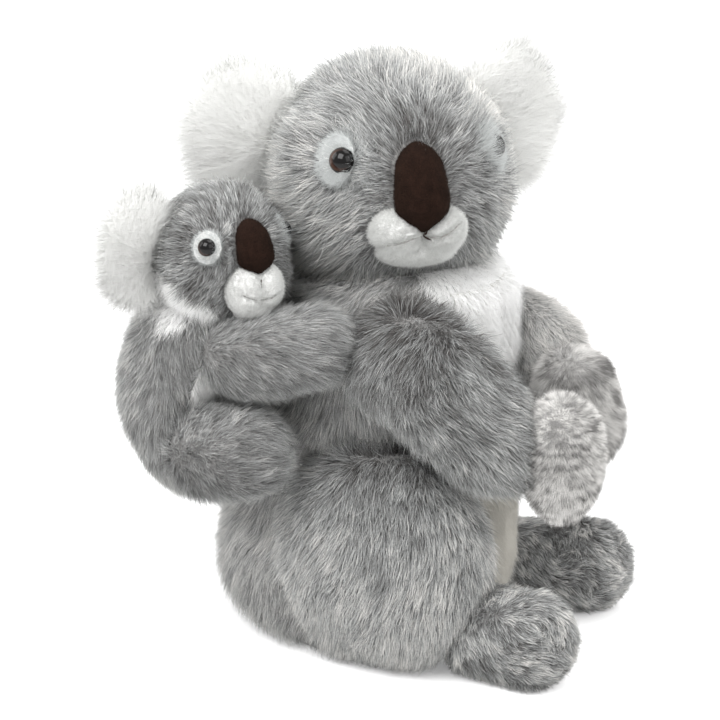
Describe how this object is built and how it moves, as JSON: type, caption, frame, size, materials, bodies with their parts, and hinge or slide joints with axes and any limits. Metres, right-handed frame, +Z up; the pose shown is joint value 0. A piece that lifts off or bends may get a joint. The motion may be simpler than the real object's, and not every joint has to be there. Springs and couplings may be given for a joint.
{
  "type": "plush koala",
  "caption": "Sitting plush koala that carries a plush baby koala on its right flank, with long grizzled fur, white ears, velour nose and moulded eyes.",
  "frame": {"origin": "centre of the mother's seat, on the surface that she sits on", "axes": "+Z up, mother's body faces -Y, her right side and the baby are at -X"},
  "size_m": [0.2003, 0.2214, 0.269],
  "materials": {
    "grey_fur": "long grizzled grey plush with dark and pale hairs",
    "hand_fur": "shorter pale grey plush with dark tips",
    "white_fur": "long fine white plush",
    "bib": "white short plush",
    "muzzle": "white short pile velour",
    "eye_patch": "white short pile",
    "nose": "dark brown velour",
    "eye": "glossy moulded safety eye, brown iris, black pupil",
    "washer_plastic": "plain moulded",
    "lining": "woven lining cloth"
  },
  "bodies": {
    "mother": {"mother_body": "grey_fur", "seat_panel": "lining", "pellet_bag": "lining", "chest_panel": "bib", "mother_leg_right": "grey_fur", "mother_leg_left": "grey_fur", "mother_foot_right": "grey_fur", "mother_foot_left": "grey_fur", "baby_body": "grey_fur", "baby_belly": "bib", "baby_arm_right": "grey_fur", "baby_arm_left": "grey_fur", "baby_leg_right": "grey_fur", "baby_leg_left": "grey_fur"},
    "mother_head": {"mother_head": "grey_fur", "mother_muzzle": "muzzle", "mother_chin": "muzzle", "mother_nose": "nose", "mother_eye_patch_right": "eye_patch", "mother_eye_right": "eye", "mother_eye_washer_right": "washer_plastic", "mother_eye_patch_left": "eye_patch", "mother_eye_left": "eye", "mother_eye_washer_left": "washer_plastic"},
    "mother_ear_right": {"mother_ear_right": "white_fur"},
    "mother_ear_left": {"mother_ear_left": "white_fur"},
    "baby_head": {"baby_head": "grey_fur", "baby_muzzle": "muzzle", "baby_chin": "muzzle", "baby_nose": "nose", "baby_eye_patch_right": "eye_patch", "baby_eye_right": "eye", "baby_eye_washer_right": "washer_plastic", "baby_eye_patch_left": "eye_patch", "baby_eye_left": "eye", "baby_eye_washer_left": "washer_plastic", "baby_ear_left": "white_fur"},
    "baby_ear_right": {"baby_ear_right": "white_fur"},
    "mother_arm_right": {"mother_arm_right": "grey_fur", "mother_hand_right": "hand_fur"},
    "mother_arm_left": {"mother_arm_left": "grey_fur", "mother_hand_left": "hand_fur"}
  },
  "joints": [
    {"name": "mother_head_turn", "type": "hinge", "parent": "mother", "child": "mother_head", "pos_m": [0.0018, -0.02074, 0.2195], "axis": [0, 0, 1], "range_deg": [-12, 6], "stiffness_Nm_per_rad": 0.4},
    {"name": "mother_ear_right_flex", "type": "hinge", "parent": "mother_head", "child": "mother_ear_right", "pos_m": [-0.0155, 0.01635, 0.23138], "axis": [0, 0, 1], "range_deg": [-15, 15], "stiffness_Nm_per_rad": 0.05},
    {"name": "mother_ear_left_flex", "type": "hinge", "parent": "mother_head", "child": "mother_ear_left", "pos_m": [0.03688, -0.04182, 0.23138], "axis": [0, 0, 1], "range_deg": [-15, 15], "stiffness_Nm_per_rad": 0.05},
    {"name": "baby_head_turn", "type": "hinge", "parent": "mother", "child": "baby_head", "pos_m": [-0.07288, 0.02588, 0.19192], "axis": [0, 0, 1], "range_deg": [-8, 8], "stiffness_Nm_per_rad": 0.15},
    {"name": "baby_ear_right_flex", "type": "hinge", "parent": "baby_head", "child": "baby_ear_right", "pos_m": [-0.08806, 0.04347, 0.19552], "axis": [0, 0, 1], "range_deg": [-15, 15], "stiffness_Nm_per_rad": 0.03},
    {"name": "mother_arm_right_lift", "type": "hinge", "parent": "mother", "child": "mother_arm_right", "pos_m": [-0.0408, -0.03128, 0.1518], "axis": [-1, 0, 0], "range_deg": [0, 20], "stiffness_Nm_per_rad": 0.3},
    {"name": "mother_arm_left_lift", "type": "hinge", "parent": "mother", "child": "mother_arm_left", "pos_m": [0.0348, -0.02856, 0.13524], "axis": [-1, 0, 0], "range_deg": [0, 20], "stiffness_Nm_per_rad": 0.3}
  ]
}
